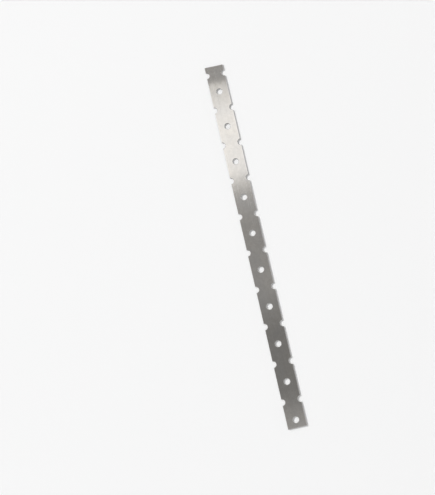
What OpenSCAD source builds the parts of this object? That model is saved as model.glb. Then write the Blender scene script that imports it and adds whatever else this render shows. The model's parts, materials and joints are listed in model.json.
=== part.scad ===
// Flat masonry wall tie: a strip of thin sheet steel with a row of nail holes along its centre line
// and half-round notches in both long edges, midway between the holes, for the mortar to key into.
// The strip is slit from coil, punched stroke by stroke and sheared to length, all from above, so every
// edge of its upper face is drawn down a little: the die roll.
// It lies flat on its lower face, +Z up, with the origin at the centre of that face.
// +X points to the end that is sheared just past a pair of notches.

/* [Strip] */
// Width of the slit strip
strip_w = 15; // [12:0.5:30]
// Thickness of the sheet
strip_t = 0.75; // [0.5:0.05:2]

/* [Punching] */
// Press strokes in one tie: each punches a hole and the pair of notches after it
strokes = 10; // [3:1:20]
// Feed of the strip from one stroke to the next
pitch = 30; // [24:0.5:50]
// Diameter of the nail holes
hole_d = 5; // [3:0.1:6]
// Diameter of the half-round notches
notch_d = 5; // [3:0.1:6]
// Distance from one sheared end to the centre of the first hole
hole_margin = 6; // [5:0.5:8]
// Distance from the last pair of notches to the other sheared end
notch_margin = 7; // [5:0.5:8]

/* [Sheared edges] */
// Reach of the die roll, in from an edge of the upper face
roll_w = 0.2; // [0.2:0.05:0.3]
// Depth to which the die roll draws an edge down
roll_d = 0.1; // [0.06:0.01:0.1]

/* [Hidden] */
// Overall length: the last pair of notches comes half a feed after the last hole
tie_l = hole_margin + (strokes - 0.5) * pitch + notch_margin;
// Places along X of the holes, and of the notch pairs half a feed further on
hole_x = [for (i = [0 : strokes - 1]) hole_margin - tie_l / 2 + i * pitch];
notch_x = [for (x = hole_x) x + pitch / 2];
// Angle at which the die roll leaves the upper face, and the radius that takes it from there to the wall
roll_angle = 8;
roll_r = (roll_w * roll_w + roll_d * roll_d) / (2 * (roll_d * cos(roll_angle) - roll_w * sin(roll_angle)));
// How far a cutting tool reaches past what it cuts
clear = 1;
// Sheet that the blades trim off the length and the width
trim = clear;
$fn = 64;

// Section of the sheet from a sheared wall on the Y axis to the end of the die roll, with the upper face
// at y = strip_t. It is drawn on past the lower face.
module sheared_edge() {
    translate([0, -2 * clear])
        square([roll_w, strip_t - roll_d + 2 * clear]);
    intersection() {
        translate([0, strip_t - roll_d])
            square([roll_w, roll_d]);
        translate([roll_w + roll_r * sin(roll_angle), strip_t - roll_r * cos(roll_angle)])
            circle(r = roll_r);
    }
}

// Section of a cutting tool that leaves a sheared wall at x = reach: all that it takes from the Y axis
// to that wall, and the thin sliver above the die roll.
module tool_section(reach) {
    difference() {
        translate([0, -clear])
            square([reach + roll_w, strip_t + 2 * clear]);
        translate([reach, 0])
            sheared_edge();
    }
}

// Round punch for a hole or a notch
module punch(d) {
    rotate_extrude()
        tool_section(d / 2);
}

// Straight blade along X that cuts away the sheet on the -Y side of the X axis
module blade(length) {
    rotate([90, 0, 90])
        translate([-clear, 0, 0])
            linear_extrude(length, center = true)
                tool_section(clear);
}

// The whole tie
module tie_strip() {
    color("silver")
        difference() {
            translate([0, 0, strip_t / 2])
                cube([tie_l + trim, strip_w + trim, strip_t], center = true);
            for (turn = [0, 180])
                rotate([0, 0, turn])
                    translate([0, -strip_w / 2, 0])
                        blade(tie_l + 2 * trim);
            for (turn = [90, 270])
                rotate([0, 0, turn])
                    translate([0, -tie_l / 2, 0])
                        blade(strip_w + 2 * trim);
            for (x = hole_x)
                translate([x, 0, 0])
                    punch(hole_d);
            for (x = notch_x, y = [-strip_w / 2, strip_w / 2])
                translate([x, y, 0])
                    punch(notch_d);
        }
}

tie_strip();
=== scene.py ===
# Looks of a flat masonry wall tie: one strip of bright sheet steel with a row of nail holes along its
# centre line and half-round notches in both edges. It lies on a pale floor, under soft studio light.
import json
import math

import bmesh
import bpy
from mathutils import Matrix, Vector


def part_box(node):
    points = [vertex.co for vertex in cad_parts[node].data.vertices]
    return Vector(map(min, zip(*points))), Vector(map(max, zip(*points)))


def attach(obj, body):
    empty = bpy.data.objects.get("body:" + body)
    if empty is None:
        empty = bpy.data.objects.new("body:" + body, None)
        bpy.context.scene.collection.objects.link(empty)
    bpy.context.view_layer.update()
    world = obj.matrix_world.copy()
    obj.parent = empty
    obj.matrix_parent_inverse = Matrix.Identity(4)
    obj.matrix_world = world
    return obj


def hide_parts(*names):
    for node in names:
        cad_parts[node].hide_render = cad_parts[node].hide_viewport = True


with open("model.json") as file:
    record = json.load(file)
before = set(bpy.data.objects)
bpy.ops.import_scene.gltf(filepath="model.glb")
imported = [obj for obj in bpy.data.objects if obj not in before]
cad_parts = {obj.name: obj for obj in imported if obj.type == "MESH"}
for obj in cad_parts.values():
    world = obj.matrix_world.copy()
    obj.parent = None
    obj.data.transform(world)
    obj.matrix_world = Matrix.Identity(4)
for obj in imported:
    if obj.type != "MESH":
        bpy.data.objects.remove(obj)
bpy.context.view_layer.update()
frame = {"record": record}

# Sizes in metres, taken from the frame. The notches are punched half a feed after the holes, with the
# same round punch.
strip_low, strip_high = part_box("tie_strip")
nail_holes = [mount for mount in frame["record"]["mounts"] if mount["kind"] == "bore"]
hole_xs = sorted(hole["pos_m"][0] for hole in nail_holes)
MM = 0.001
STRIP_W = strip_high.y - strip_low.y
STRIP_T = strip_high.z - strip_low.z
FEED = hole_xs[1] - hole_xs[0]
HOLE_MARGIN = hole_xs[0] - strip_low.x
PUNCH_R = nail_holes[0]["dims"]["r_mm"] * MM
ROLL_D = STRIP_T - nail_holes[0]["dims"]["length_mm"] * MM

# The die roll: over this width the upper face sinks towards a sheared edge, ring by ring. The rings lie
# closest together at the edge, where the face is steepest.
ROLL_W = 0.2 * MM
ROLL_RINGS = (0.0, 0.14, 0.32, 0.56, 1.0)
ROLL_STEPS = [share * ROLL_W for share in ROLL_RINGS]

# How finely the strip is divided: steps along a quarter of a punched circle, and rings around it.
ARC_STEPS = 16
RING_CUTS = 4
# Points closer than this are one point.
WELD = 0.002 * MM
# How far up a face's normal points: more than this on the upper face, and less than this on a wall.
UPWARD = 0.9
UPRIGHT = 0.3
# Faces that meet at less than this angle are shaded as one.
SMOOTH_ANGLE = math.radians(35)
# The attribute that holds the strength of faces, which nothing needs once the normals are weighted.
FACE_STRENGTH = "__mod_weightednormals_faceweight"


def select_only(*pieces):
    """In object mode, select these pieces alone, with the first one active."""
    bpy.ops.object.select_all(action="DESELECT")
    for piece in pieces:
        piece.select_set(True)
    bpy.context.view_layer.objects.active = pieces[0]


def pick_points(piece, wanted):
    """In edit mode, select the points whose place is wanted, and what lies between them."""
    bpy.ops.mesh.select_mode(type="VERT")
    bpy.ops.mesh.select_all(action="DESELECT")
    shape = bmesh.from_edit_mesh(piece.data)
    for point in shape.verts:
        point.select_set(wanted(point.co))
    shape.select_flush(True)
    bmesh.update_edit_mesh(piece.data)


def pick_faces(piece, wanted):
    """In edit mode, select the faces whose normal is wanted."""
    bpy.ops.mesh.select_mode(type="FACE")
    bpy.ops.mesh.select_all(action="DESELECT")
    shape = bmesh.from_edit_mesh(piece.data)
    for face in shape.faces:
        face.select_set(wanted(face.normal))
    bmesh.update_edit_mesh(piece.data)


def order_faces(piece):
    """In edit mode, put the faces in order of their place. Extruding leaves walls in a chance order."""
    shape = bmesh.from_edit_mesh(piece.data)
    placed = sorted(shape.faces, key=lambda face: tuple(face.calc_center_median()))
    for number, face in enumerate(placed):
        face.index = number
    shape.faces.sort()
    bmesh.update_edit_mesh(piece.data)


def corner_patch(name, length, width):
    """A flat rectangle from the origin to (length, width), less a quarter of the punched circle there."""
    bpy.ops.object.select_all(action="DESELECT")
    bpy.ops.mesh.primitive_circle_add(vertices=4 * ARC_STEPS, radius=PUNCH_R)
    patch = bpy.context.object
    patch.name = name
    bpy.ops.object.mode_set(mode="EDIT")
    pick_points(patch, lambda place: min(place.x, place.y) < -WELD)
    bpy.ops.mesh.delete(type="VERT")

    # A unit square with one corner at the origin is stretched, and keeps only its two far sides. Together
    # they get as many steps as the arc.
    bpy.ops.mesh.select_all(action="DESELECT")
    bpy.ops.mesh.primitive_plane_add(size=1, location=(0.5, 0.5, 0))
    bpy.ops.transform.resize(value=(length, width, 1), center_override=(0, 0, 0))
    pick_points(patch, lambda place: place.length < WELD)
    bpy.ops.mesh.delete(type="VERT")
    pick_points(patch, lambda place: place.x > length - WELD or place.y > width - WELD)
    bpy.ops.mesh.subdivide(number_cuts=ARC_STEPS // 2 - 1)
    bpy.ops.mesh.select_all(action="SELECT")
    bpy.ops.mesh.bridge_edge_loops(number_cuts=RING_CUTS, interpolation="LINEAR")
    return patch


def four_quarters(patch):
    """Mirror a corner patch about X and Y into a whole block of the strip."""
    bpy.ops.object.mode_set(mode="OBJECT")
    mirror = patch.modifiers.new("four quarters", "MIRROR")
    mirror.use_axis = (True, True, False)
    mirror.merge_threshold = WELD
    bpy.ops.object.modifier_apply(modifier=mirror.name)
    return patch


def hole_block():
    """The stretch of strip around one nail hole, with the hole's centre at the origin."""
    return four_quarters(corner_patch("hole_block", HOLE_MARGIN, STRIP_W / 2))


def notch_block():
    """The stretch of strip between two hole blocks, with a half-round notch in each edge."""
    patch = corner_patch("notch_block", FEED / 2 - HOLE_MARGIN, STRIP_W / 2)
    bpy.ops.mesh.select_all(action="SELECT")
    bpy.ops.transform.resize(value=(1, -1, 1), center_override=(0, STRIP_W / 4, 0))
    block = four_quarters(patch)
    bpy.ops.object.mode_set(mode="EDIT")
    bpy.ops.mesh.select_all(action="SELECT")
    bpy.ops.transform.translate(value=(FEED / 2, 0, 0))
    bpy.ops.object.mode_set(mode="OBJECT")
    return block


def roll_depth(distance):
    """How far the upper face has sunk at a distance from a sheared edge."""
    return ROLL_D * (1 - distance / ROLL_W) ** 2


def model_strip():
    """The whole tie: one feed of the press, repeated, sheared off, and given thickness and die roll."""
    strip = hole_block()
    select_only(strip, notch_block())
    bpy.ops.object.join()
    strip.name = "wall_tie_strip"
    strip.data.name = strip.name
    strokes = strip.modifiers.new("press strokes", "ARRAY")
    strokes.count = len(hole_xs)
    strokes.use_relative_offset = False
    strokes.use_constant_offset = True
    strokes.constant_offset_displace = (FEED, 0, 0)
    strokes.use_merge_vertices = True
    strokes.merge_threshold = WELD
    bpy.ops.object.modifier_apply(modifier=strokes.name)

    bpy.ops.object.mode_set(mode="EDIT")
    bpy.ops.mesh.select_all(action="SELECT")
    bpy.ops.mesh.remove_doubles(threshold=WELD)
    bpy.ops.transform.translate(value=(hole_xs[0], 0, 0))
    bpy.ops.mesh.bisect(plane_co=(strip_high.x, 0, 0), plane_no=(1, 0, 0), clear_outer=True)
    bpy.ops.mesh.select_all(action="SELECT")
    bpy.ops.mesh.extrude_region_move(TRANSFORM_OT_translate={"value": (0, 0, STRIP_T - ROLL_D)})
    bpy.ops.mesh.select_all(action="SELECT")
    bpy.ops.mesh.normals_make_consistent(inside=False)
    pick_faces(strip, lambda normal: normal.z > UPWARD)
    for near, far in zip(ROLL_STEPS, ROLL_STEPS[1:]):
        bpy.ops.mesh.inset(thickness=far - near, depth=roll_depth(near) - roll_depth(far))
    order_faces(strip)

    # The flat that the insets leave selected keeps its own normals, up to where the die roll begins.
    bpy.ops.mesh.mod_weighted_strength(set=True, face_strength="STRONG")
    bpy.ops.object.mode_set(mode="OBJECT")
    bpy.ops.object.shade_smooth_by_angle(angle=SMOOTH_ANGLE)
    flat = strip.modifiers.new("flat stays flat", "WEIGHTED_NORMAL")
    flat.mode = "CORNER_ANGLE"
    flat.use_face_influence = True
    flat.keep_sharp = True
    bpy.ops.object.modifier_apply(modifier=flat.name)
    strip.data.attributes.remove(strip.data.attributes[FACE_STRENGTH])
    return strip


# Shader nodes
def node(tree, kind, inputs=None, **settings):
    """Add a node. Inputs are given by their name or number, as a value or as another node's output."""
    made = tree.nodes.new(kind)
    for key, value in settings.items():
        setattr(made, key, value)
    for key, value in (inputs or {}).items():
        if isinstance(value, bpy.types.NodeSocket):
            tree.links.new(value, made.inputs[key])
        else:
            made.inputs[key].default_value = value
    return made


def calc(tree, operation, *values):
    """The result of a Math node."""
    made = node(tree, "ShaderNodeMath", dict(enumerate(values)), operation=operation)
    return made.outputs[0]


def ramp(tree, value, low, high, to_low=0.0, to_high=1.0):
    """A value eased from one range to another, and held at the ends of it."""
    made = node(
        tree,
        "ShaderNodeMapRange",
        {"Value": value, "From Min": low, "From Max": high, "To Min": to_low, "To Max": to_high},
        interpolation_type="SMOOTHSTEP",
    )
    return made.outputs["Result"]


def fade(tree, value, low, high):
    """1 up to the low end of a range, eased to 0 at its high end."""
    return ramp(tree, value, low, high, to_low=1.0, to_high=0.0)


def add_share(tree, base, value, share):
    """A base with a share of another value added to it."""
    return calc(tree, "ADD", base, calc(tree, "MULTIPLY", value, share))


def hypotenuse(tree, along, aside):
    """The straight distance to a point that lies so far along and so far aside."""
    squares = calc(tree, "ADD", calc(tree, "POWER", along, 2.0), calc(tree, "POWER", aside, 2.0))
    return calc(tree, "SQRT", squares)


def noise(tree, place, stretch, detail=2.0, rough=0.5, distortion=0.0):
    """Noise with the given number of swings for each unit along X, Y and Z."""
    scaled = node(tree, "ShaderNodeVectorMath", {0: place, 1: stretch}, operation="MULTIPLY")
    made = node(
        tree,
        "ShaderNodeTexNoise",
        {
            "Vector": scaled.outputs[0],
            "Scale": 1.0,
            "Detail": detail,
            "Roughness": rough,
            "Distortion": distortion,
        },
    )
    return made.outputs[0]


def blend_colours(tree, factor, first, second):
    """One colour shading into another."""
    made = node(tree, "ShaderNodeMix", {0: factor, 6: first, 7: second}, data_type="RGBA")
    return made.outputs[2]


def tint(tree, under, mask, strength, colour):
    """A colour laid over another one through a mask, at a strength."""
    return blend_colours(tree, calc(tree, "MULTIPLY", mask, strength), under, colour)


def relief(tree, height, depth, below=None, sunk=False):
    """The normal of a relief of the given depth, on top of the one below it. A sunk one is cut in."""
    inputs = {"Strength": 1.0, "Distance": depth, "Height": height}
    if below is not None:
        inputs["Normal"] = below
    return node(tree, "ShaderNodeBump", inputs, invert=sunk).outputs[0]


def new_group(name, inputs, outputs):
    """An empty node group with its sockets: returns its tree, its input node and its output node."""
    tree = bpy.data.node_groups.new(name, "ShaderNodeTree")
    for socket, kind in inputs.items():
        tree.interface.new_socket(socket, in_out="INPUT", socket_type=kind)
    for socket in outputs:
        tree.interface.new_socket(socket, in_out="OUTPUT", socket_type="NodeSocketFloat")
    start = tree.nodes.new("NodeGroupInput")
    end = tree.nodes.new("NodeGroupOutput")
    return tree, start, end


def use_group(tree, group, **inputs):
    """Place a node group in a tree."""
    return node(tree, "ShaderNodeGroup", inputs, node_tree=group)


# Rolling lines: swings for each millimetre along X, Y and Z, and their share, for broad and for fine ones
BROAD_LINES = (0.012, 0.9, 0.4)
BROAD_SHARE = 0.55
FINE_LINES = (0.03, 4.5, 2.0)
FINE_SHARE = 0.45

# Film: the level of its cloud at which it begins, and at which it is whole
FILM_BEGINS = 0.36
FILM_WHOLE = 0.66

# Scratches: half the width of a hairline in millimetres. The rest are shares of a cell: the range of a
# line's middle, the range of its lean, and where it tapers, counted from the middle of its length.
HAIRLINE = 0.03
MIDDLE_FROM = 0.3
MIDDLE_SPAN = 0.4
LEAN_FROM = -0.25
LEAN_SPAN = 0.5
TAPER_FROM = 0.2
TAPER_TO = 0.5


def rolling_lines_group():
    """Fine lines that the rolls and guides leave along the strip, with the place in millimetres."""
    tree, start, end = new_group("rolling lines", {"Place": "NodeSocketVector"}, ["Lines"])
    broad = noise(tree, start.outputs["Place"], BROAD_LINES, detail=2.0)
    fine = noise(tree, start.outputs["Place"], FINE_LINES, detail=3.0)
    both = add_share(tree, calc(tree, "MULTIPLY", broad, BROAD_SHARE), fine, FINE_SHARE)
    tree.links.new(both, end.inputs["Lines"])
    return tree


def film_group():
    """Cloudy patches of thin film, of about the given size in millimetres."""
    tree, start, end = new_group(
        "cloudy film", {"Place": "NodeSocketVector", "Size": "NodeSocketFloat"}, ["Film"]
    )
    swings = calc(tree, "DIVIDE", 1.0, start.outputs["Size"])
    cloud = noise(tree, start.outputs["Place"], swings, detail=4.0, rough=0.55, distortion=0.5)
    tree.links.new(ramp(tree, cloud, FILM_BEGINS, FILM_WHOLE), end.inputs["Film"])
    return tree


def scratches_group():
    """Hairline scratches about one direction: a share of a grid's cells has one, tapered to its ends."""
    tree, start, end = new_group(
        "hairline scratches",
        {
            "Place": "NodeSocketVector",
            "Angle": "NodeSocketFloat",
            "Length": "NodeSocketFloat",
            "Spacing": "NodeSocketFloat",
            "Share": "NodeSocketFloat",
        },
        ["Scratches"],
    )
    turned = node(
        tree,
        "ShaderNodeVectorRotate",
        {"Vector": start.outputs["Place"], "Angle": start.outputs["Angle"]},
        rotation_type="Z_AXIS",
    )
    place = node(tree, "ShaderNodeSeparateXYZ", {0: turned.outputs[0]})

    # Each row of cells starts at a chance place of its own, and each cell has three chances.
    rows = calc(tree, "DIVIDE", place.outputs["Y"], start.outputs["Spacing"])
    row = calc(tree, "FLOOR", rows)
    row_chance = node(tree, "ShaderNodeTexWhiteNoise", {"W": row}, noise_dimensions="1D")
    lengths = calc(tree, "DIVIDE", place.outputs["X"], start.outputs["Length"])
    cells = calc(tree, "ADD", lengths, row_chance.outputs["Value"])
    cell = node(tree, "ShaderNodeCombineXYZ", {"X": calc(tree, "FLOOR", cells), "Y": row})
    cell_chance = node(
        tree, "ShaderNodeTexWhiteNoise", {"Vector": cell.outputs[0]}, noise_dimensions="2D"
    )
    chances = node(tree, "ShaderNodeSeparateColor", {0: cell_chance.outputs["Color"]})

    # The line's middle and its lean within the cell, both as shares of the cell's width.
    along = calc(tree, "SUBTRACT", calc(tree, "FRACT", cells), 0.5)
    middle = calc(tree, "MULTIPLY_ADD", chances.outputs["Red"], MIDDLE_SPAN, MIDDLE_FROM)
    lean = calc(tree, "MULTIPLY_ADD", chances.outputs["Green"], LEAN_SPAN, LEAN_FROM)
    line_place = calc(tree, "MULTIPLY_ADD", along, lean, middle)
    off_line = calc(tree, "ABSOLUTE", calc(tree, "SUBTRACT", calc(tree, "FRACT", rows), line_place))
    line = fade(tree, calc(tree, "MULTIPLY", off_line, start.outputs["Spacing"]), 0.0, HAIRLINE)
    taper = fade(tree, calc(tree, "ABSOLUTE", along), TAPER_FROM, TAPER_TO)
    kept = calc(tree, "LESS_THAN", chances.outputs["Blue"], start.outputs["Share"])
    scratch = calc(tree, "MULTIPLY", calc(tree, "MULTIPLY", line, taper), kept)
    tree.links.new(scratch, end.inputs["Scratches"])
    return tree


def rim_group():
    """How near a point is to a sheared edge, hole or notch: 1 at the rim, 0 from Reach millimetres on."""
    tree, start, end = new_group(
        "nearness to a rim", {"Place": "NodeSocketVector", "Reach": "NodeSocketFloat"}, ["Rim"]
    )
    place = node(tree, "ShaderNodeSeparateXYZ", {0: start.outputs["Place"]})
    along = calc(tree, "SUBTRACT", place.outputs["X"], hole_xs[0] / MM)
    from_hole = calc(tree, "PINGPONG", along, FEED / 2 / MM)
    from_notch = calc(tree, "SUBTRACT", FEED / 2 / MM, from_hole)
    aside = calc(tree, "ABSOLUTE", place.outputs["Y"])
    from_edge = calc(tree, "SUBTRACT", STRIP_W / 2 / MM, aside)
    to_hole = hypotenuse(tree, from_hole, aside)
    to_notch = hypotenuse(tree, from_notch, from_edge)
    to_punch = calc(tree, "SUBTRACT", calc(tree, "MINIMUM", to_hole, to_notch), PUNCH_R / MM)
    from_centre = calc(tree, "ABSOLUTE", place.outputs["X"])
    from_end = calc(tree, "SUBTRACT", strip_high.x / MM, from_centre)
    to_rim = calc(tree, "MINIMUM", to_punch, calc(tree, "MINIMUM", from_edge, from_end))
    near = calc(tree, "DIVIDE", to_rim, start.outputs["Reach"])
    tree.links.new(fade(tree, near, 0.0, 1.0), end.inputs["Rim"])
    return tree


ROLLING_LINES = rolling_lines_group()
FILM = film_group()
SCRATCHES = scratches_group()
RIM = rim_group()


def new_metal(name):
    """A bare metal material: returns it with its tree, its shader and the place in millimetres."""
    metal = bpy.data.materials.new(name)
    metal.use_nodes = True
    tree = metal.node_tree
    shader = tree.nodes["Principled BSDF"]
    shader.inputs["Metallic"].default_value = 1.0
    where = tree.nodes.new("ShaderNodeTexCoord")
    place = node(
        tree, "ShaderNodeVectorMath", {0: where.outputs["Object"], "Scale": 1 / MM}, operation="SCALE"
    )
    return metal, tree, shader, place.outputs[0]


# Colours of the steel: the streaks of the sheet, its film, bare metal in scratches, which is also the
# colour of a painted highlight along the rims, and the burnished and the torn band of a sheared wall
DARK_STREAK = (0.58, 0.553, 0.515, 1)
PALE_STREAK = (0.705, 0.677, 0.635, 1)
FILM_COLOUR = (0.572, 0.561, 0.548, 1)
BARE_METAL_AND_RIM_HIGHLIGHT = (0.77, 0.75, 0.72, 1)
DARK_BURNISH = (0.58, 0.57, 0.55, 1)
PALE_BURNISH = (0.70, 0.69, 0.67, 1)
DARK_TEAR = (0.34, 0.33, 0.32, 1)
PALE_TEAR = (0.48, 0.47, 0.455, 1)

# The sheet: what lines and mottle give to its tone, and how strongly film, scratches and the painted
# highlight along the rims colour it
LINES_IN_TONE = 0.6
MOTTLE_IN_TONE = 0.4
FILM_STRENGTH = 0.45
SCRATCH_STRENGTH = 0.5
RIM_HIGHLIGHT_STRENGTH = 0.6

# Roughness of the clean sheet, and what film, lines and scratches add to it
SHEET_ROUGH = 0.028
FILM_ROUGH = 0.022
LINES_ROUGH = 0.014
SCRATCH_ROUGH = 0.10

# Relief of the sheet: the swings of its slow waves for each millimetre, and the depths of all its marks
WAVES = (0.05, 0.09, 0.09)
WAVE_DEPTH = 0.025 * MM
LINE_DEPTH = 0.0012 * MM
SCRATCH_DEPTH = 0.002 * MM

# A sheared wall: the swings of its drag marks for each millimetre. As shares of the thickness, the top of
# the torn band, the foot of the burnished one, and how far the line between them wavers.
DRAG_MARKS = (9.0, 9.0, 0.6)
TORN_TOP = 0.42
BURNISHED_FOOT = 0.52
WAVER = 0.16

# Roughness of the burnished band, what tearing adds to it, and the relief of both
BURNISHED_ROUGH = 0.24
TORN_ROUGH = 0.26
DRAG_IN_RELIEF = 0.4
WALL_DEPTH = 0.012 * MM


def rolled_steel():
    """Bright cold-rolled sheet with rolling lines, cloudy film, hairline scratches and a painted
    highlight along the rims.
    """
    metal, tree, shader, place = new_metal("rolled steel")
    lines = use_group(tree, ROLLING_LINES, Place=place).outputs["Lines"]
    film = use_group(tree, FILM, Place=place, Size=20.0).outputs["Film"]
    mottle = use_group(tree, FILM, Place=place, Size=3.0).outputs["Film"]
    rim = use_group(tree, RIM, Place=place, Reach=0.9).outputs["Rim"]
    along = use_group(tree, SCRATCHES, Place=place, Angle=0.03, Length=24.0, Spacing=0.8, Share=0.3)
    across = use_group(tree, SCRATCHES, Place=place, Angle=0.9, Length=8.0, Spacing=2.6, Share=0.15)
    both = calc(tree, "MAXIMUM", along.outputs["Scratches"], across.outputs["Scratches"])
    scratches = calc(tree, "MULTIPLY", both, calc(tree, "SUBTRACT", 1.0, rim))

    tone = add_share(tree, calc(tree, "MULTIPLY", lines, LINES_IN_TONE), mottle, MOTTLE_IN_TONE)
    sheet = blend_colours(tree, tone, DARK_STREAK, PALE_STREAK)
    filmed = tint(tree, sheet, film, FILM_STRENGTH, FILM_COLOUR)
    scratched = tint(tree, filmed, scratches, SCRATCH_STRENGTH, BARE_METAL_AND_RIM_HIGHLIGHT)
    # Painted highlight: the sheet is lightened towards the bare metal colour within the reach of every
    # hole, notch, edge and end.
    rim_highlighted = tint(tree, scratched, rim, RIM_HIGHLIGHT_STRENGTH, BARE_METAL_AND_RIM_HIGHLIGHT)
    tree.links.new(rim_highlighted, shader.inputs["Base Color"])

    satin = add_share(tree, SHEET_ROUGH, film, FILM_ROUGH)
    lined = add_share(tree, satin, lines, LINES_ROUGH)
    worn = add_share(tree, lined, scratches, SCRATCH_ROUGH)
    tree.links.new(worn, shader.inputs["Roughness"])

    wavy = relief(tree, noise(tree, place, WAVES, detail=1.0), WAVE_DEPTH)
    rolled = relief(tree, lines, LINE_DEPTH, below=wavy)
    cut = relief(tree, scratches, SCRATCH_DEPTH, below=rolled, sunk=True)
    tree.links.new(cut, shader.inputs["Normal"])
    return metal


def sheared_steel():
    """A sheared wall: a burnished band under the die roll, and a dull torn band below it."""
    metal, tree, shader, place = new_metal("sheared steel")
    height = node(tree, "ShaderNodeSeparateXYZ", {0: place}).outputs["Z"]
    grain = use_group(tree, FILM, Place=place, Size=0.12).outputs["Film"]
    drag = noise(tree, place, DRAG_MARKS, detail=2.0)
    waver = calc(tree, "MULTIPLY", calc(tree, "SUBTRACT", drag, 0.5), WAVER)
    level = calc(tree, "ADD", calc(tree, "DIVIDE", height, STRIP_T / MM), waver)
    torn = fade(tree, level, TORN_TOP, BURNISHED_FOOT)
    smooth = blend_colours(tree, drag, DARK_BURNISH, PALE_BURNISH)
    rough = blend_colours(tree, grain, DARK_TEAR, PALE_TEAR)
    tree.links.new(blend_colours(tree, torn, smooth, rough), shader.inputs["Base Color"])
    dull = add_share(tree, BURNISHED_ROUGH, torn, TORN_ROUGH)
    tree.links.new(dull, shader.inputs["Roughness"])
    marks = add_share(tree, calc(tree, "MULTIPLY", grain, torn), drag, DRAG_IN_RELIEF)
    tree.links.new(relief(tree, marks, WALL_DEPTH), shader.inputs["Normal"])
    return metal


def dress_strip(strip):
    """Rolled steel all over, and sheared steel on the walls."""
    strip.data.materials.clear()
    strip.data.materials.append(rolled_steel())
    strip.data.materials.append(sheared_steel())
    select_only(strip)
    bpy.ops.object.mode_set(mode="EDIT")
    pick_faces(strip, lambda normal: abs(normal.z) < UPRIGHT)
    strip.active_material_index = 1
    bpy.ops.object.material_slot_assign()
    bpy.ops.object.mode_set(mode="OBJECT")


tie = model_strip()
dress_strip(tie)
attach(tie, "root")
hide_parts("tie_strip")

# The floor: white paper, a hair below the strip
FLOOR_SIZE = 12.0
FLOOR_GAP = 0.03 * MM
PAPER_WHITE = (0.9, 0.9, 0.9, 1)
PAPER_ROUGH = 0.9
bpy.ops.object.select_all(action="DESELECT")
bpy.ops.mesh.primitive_plane_add(size=FLOOR_SIZE, location=(0, 0, -FLOOR_GAP))
floor = bpy.context.object
floor.name = "studio_floor"
paper = bpy.data.materials.new("white paper")
paper.use_nodes = True
paper_shader = paper.node_tree.nodes["Principled BSDF"]
paper_shader.inputs["Base Color"].default_value = PAPER_WHITE
paper_shader.inputs["Roughness"].default_value = PAPER_ROUGH
paper_shader.inputs["Specular IOR Level"].default_value = 0.0
floor.data.materials.append(paper)

# The camera looks down on the strip, almost from above.
AIM = Vector((0.0018, 0.0297, 0.0))
DISTANCE = 0.658
TILT = math.radians(7.75)
TURN = math.radians(167.34)
SENSOR_HEIGHT = 36.0
LENS = 60.0
back = Vector((math.cos(TURN) * math.sin(TILT), math.sin(TURN) * math.sin(TILT), math.cos(TILT)))
camera_data = bpy.data.cameras.new("camera")
camera_data.sensor_fit = "VERTICAL"
camera_data.sensor_height = SENSOR_HEIGHT
camera_data.lens = LENS
camera = bpy.data.objects.new("camera", camera_data)
camera.location = AIM + DISTANCE * back
camera.rotation_euler = (-back).to_track_quat("-Z", "Y").to_euler()
bpy.context.scene.collection.objects.link(camera)
bpy.context.scene.camera = camera


def softbox(name, place, aim, length, width, radiance):
    """A rectangular studio lamp that faces its aim. It shows neither in the camera nor in the metal."""
    data = bpy.data.lights.new(name, "AREA")
    data.shape = "RECTANGLE"
    data.size = length
    data.size_y = width
    data.energy = radiance * math.pi * length * width
    lamp = bpy.data.objects.new(name, data)
    lamp.location = place
    lamp.rotation_euler = (Vector(aim) - Vector(place)).to_track_quat("-Z", "Y").to_euler()
    lamp.visible_camera = False
    lamp.visible_glossy = False
    bpy.context.scene.collection.objects.link(lamp)


# One low box from the side, for the shadows in the holes and along the edges.
KEY_AZIMUTH = Vector((0.61, 0.79, 0.0))
KEY_HEIGHT = math.radians(26)
KEY_DISTANCE = 18.0
KEY_LENGTH = 4.8
KEY_WIDTH = 3.6
KEY_RADIANCE = 69.0
key_direction = math.cos(KEY_HEIGHT) * KEY_AZIMUTH + math.sin(KEY_HEIGHT) * Vector((0, 0, 1))
softbox("side_box", KEY_DISTANCE * key_direction, (0, 0, 0), KEY_LENGTH, KEY_WIDTH, KEY_RADIANCE)

# What the flat of the strip mirrors: a grey ceiling with a wide bright panel in it, and pale walls. The
# ceiling's brightness changes along X in soft steps, each with its start, its end and its change.
WALLS = 0.95
CEILING = 0.46
CEILING_STEPS = [
    (-0.105, -0.05, -0.20),
    (0.015, 0.075, 0.13),
    (0.14, 0.19, 0.13),
    (0.182, 0.222, 0.77),
    (0.278, 0.316, -0.33),
    (0.3165, 0.3175, -0.52),
]
# How steeply a direction rises, from 0 at the horizon to 1 overhead: walls alone up to the first value,
# and the ceiling alone from the second.
WALLS_TOP = 0.08
CEILING_FOOT = 0.45


def studio_dome():
    """Pale walls and a grey ceiling with a bright panel."""
    world = bpy.data.worlds.new("studio dome")
    world.use_nodes = True
    tree = world.node_tree
    sky = tree.nodes["Background"]
    sky.inputs["Color"].default_value = (1, 1, 1, 1)
    direction = node(tree, "ShaderNodeTexCoord").outputs["Generated"]
    towards = node(tree, "ShaderNodeSeparateXYZ", {0: direction})
    ceiling = CEILING
    for start, end, change in CEILING_STEPS:
        step = ramp(tree, towards.outputs["X"], start, end, to_high=change)
        ceiling = calc(tree, "ADD", ceiling, step)
    walls = fade(tree, towards.outputs["Z"], WALLS_TOP, CEILING_FOOT)
    shade = node(tree, "ShaderNodeMix", {0: walls, 2: ceiling, 3: WALLS}, data_type="FLOAT")
    tree.links.new(shade.outputs[0], sky.inputs["Strength"])
    bpy.context.scene.world = world


studio_dome()
bpy.context.scene.view_settings.view_transform = "Standard"
